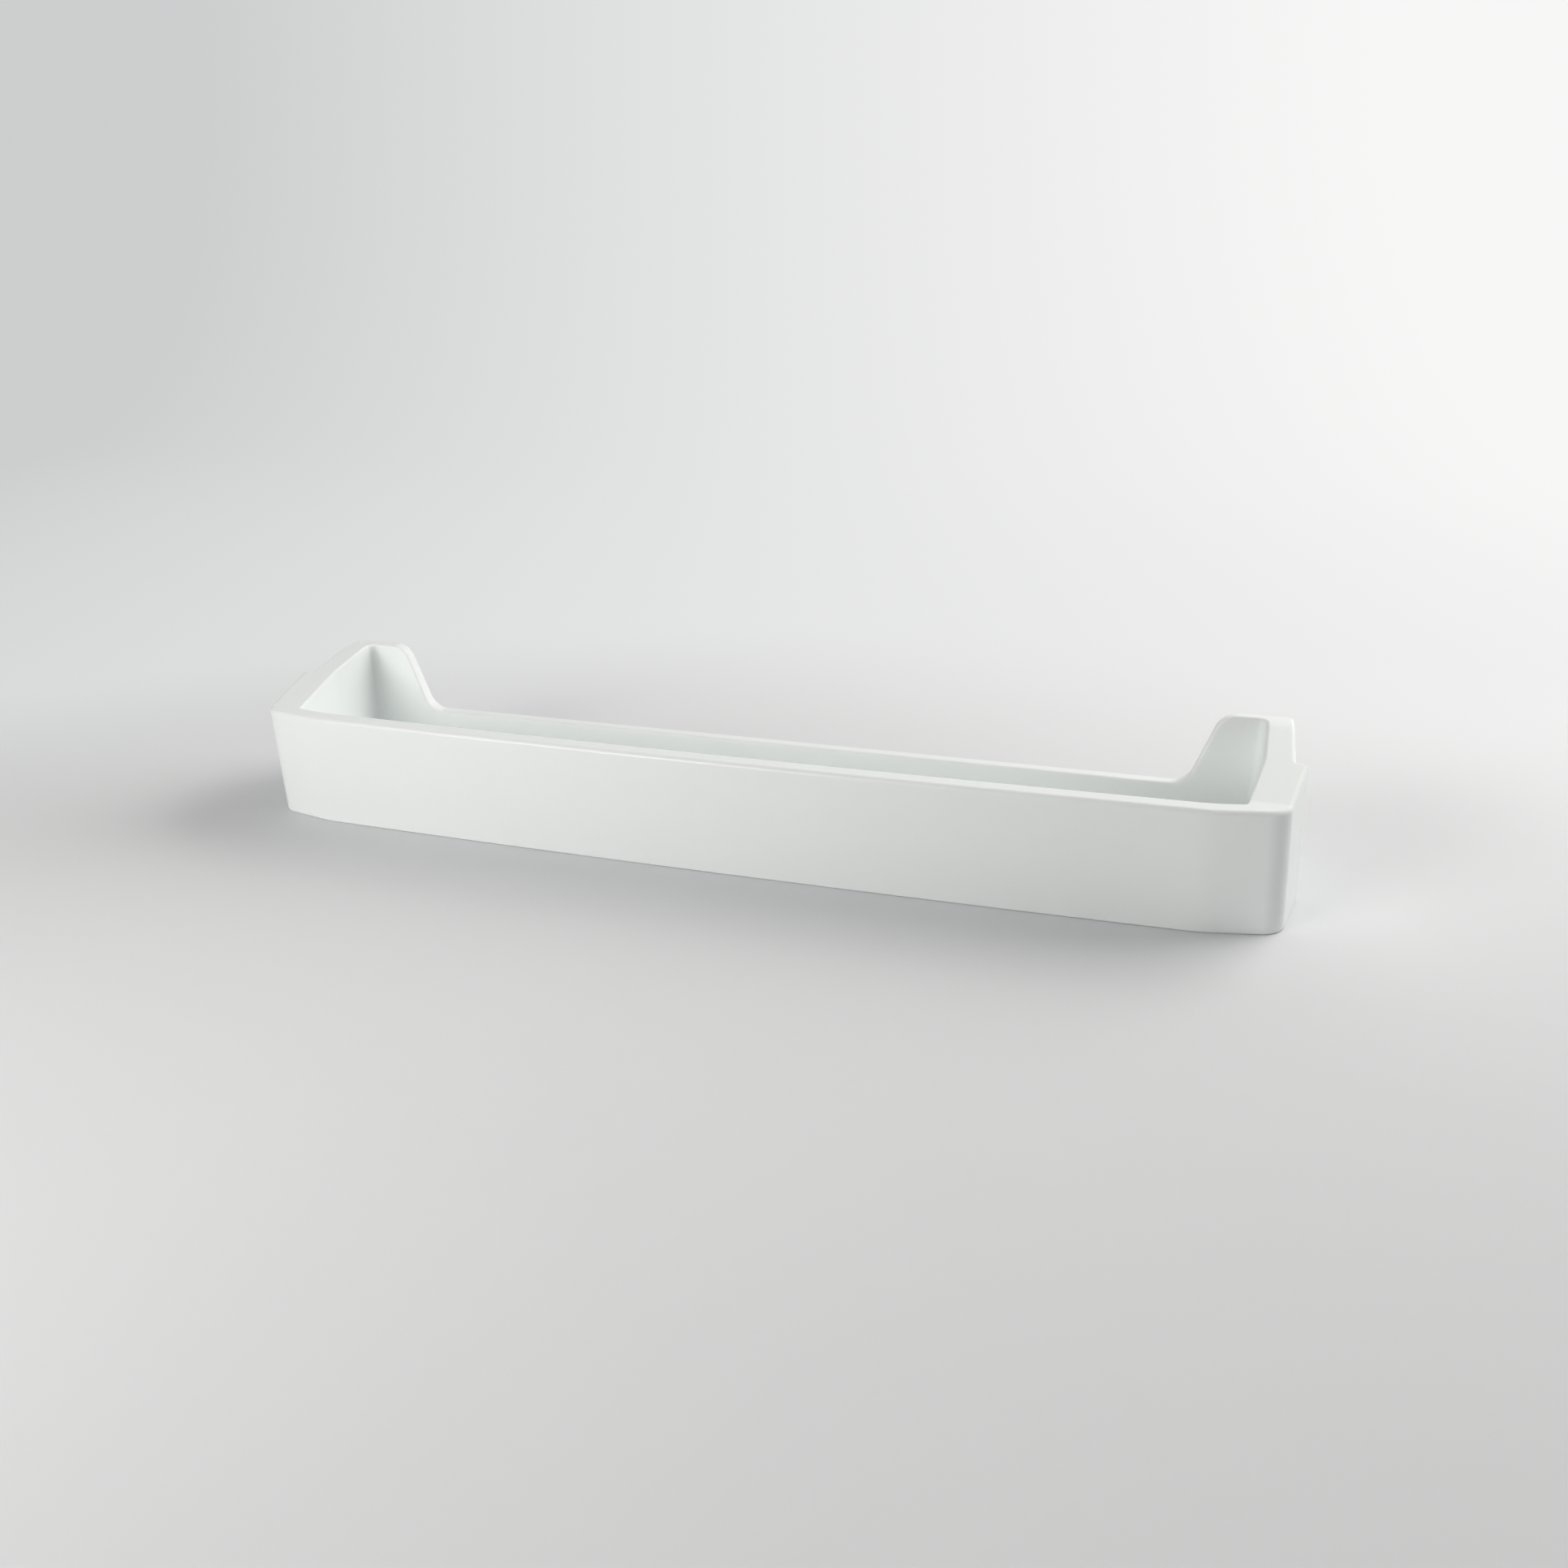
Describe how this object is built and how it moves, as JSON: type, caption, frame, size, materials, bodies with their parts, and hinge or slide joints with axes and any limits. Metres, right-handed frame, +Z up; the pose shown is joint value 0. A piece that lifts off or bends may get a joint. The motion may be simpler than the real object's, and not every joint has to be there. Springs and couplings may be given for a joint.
{
  "type": "refrigerator door bin",
  "caption": "Long shallow moulded door bin with a bowed front panel, side skirts, a hollow rim open underneath and a low rear wall between raised ears.",
  "frame": {"origin": "middle of the footprint, on the plane of the foot edge", "axes": "+X along the width, +Y from the front panel towards the refrigerator door, +Z up"},
  "size_m": [0.4842, 0.0928, 0.0675],
  "materials": {
    "white_plastic": "satin gloss, white, as moulded"
  },
  "bodies": {
    "root": {"door_bin": "white_plastic"}
  },
  "joints": []
}
